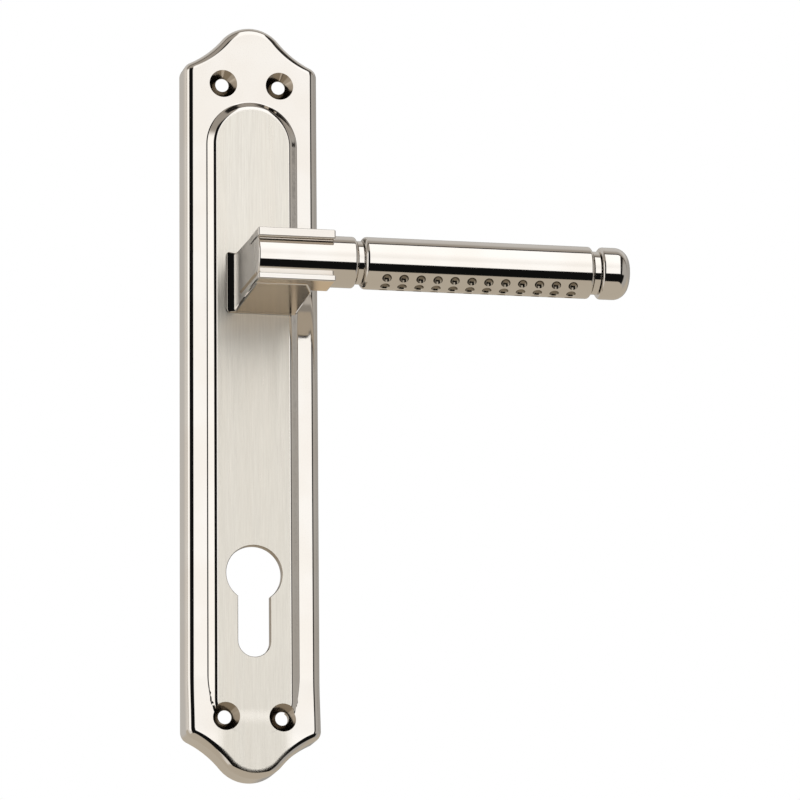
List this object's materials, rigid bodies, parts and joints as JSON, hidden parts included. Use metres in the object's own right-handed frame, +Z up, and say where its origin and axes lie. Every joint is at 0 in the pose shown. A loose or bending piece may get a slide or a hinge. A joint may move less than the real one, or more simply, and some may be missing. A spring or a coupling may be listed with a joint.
{
  "type": "lever handle on backplate",
  "caption": "Sprung door lever handle on a long ogee-ended nickel backplate with a raised satin panel and a euro-profile keyhole.",
  "frame": {"origin": "on the spindle axis, in the plane of the door's face that the backplate's back rests on", "axes": "+X along the lever from the spindle axis, +Y into the door along the spindle, +Z up"},
  "size_m": [0.1333, 0.0987, 0.24],
  "materials": {
    "polished_nickel": "polished and satin-brushed nickel plate",
    "zinc_steel": "zinc-plated steel",
    "spring_steel": "oiled spring steel",
    "nylon": "moulded nylon"
  },
  "bodies": {
    "plate": {"backplate": "polished_nickel", "bearing_bush": "nylon", "spring_cover": "zinc_steel", "cover_screw_1": "zinc_steel", "cover_screw_2": "zinc_steel", "cover_screw_3": "zinc_steel", "cover_screw_4": "zinc_steel", "return_spring": "spring_steel", "rest_stop_pin": "zinc_steel", "travel_stop_pin": "zinc_steel"},
    "lever": {"lever_neck": "polished_nickel", "front_ring": "polished_nickel", "grip_sleeve": "polished_nickel", "rear_ring": "polished_nickel", "end_cap": "polished_nickel", "tie_rod": "zinc_steel", "cam_plate": "zinc_steel", "retaining_clip": "spring_steel", "spindle": "zinc_steel", "spindle_pin": "zinc_steel"}
  },
  "joints": [
    {"name": "lever_turn", "type": "hinge", "parent": "plate", "child": "lever", "pos_m": [0, 0, 0], "axis": [0, 1, 0], "range_deg": [0, 45], "stiffness_Nm_per_rad": 1, "springref_deg": -34.38, "deforming": ["return_spring"]}
  ]
}
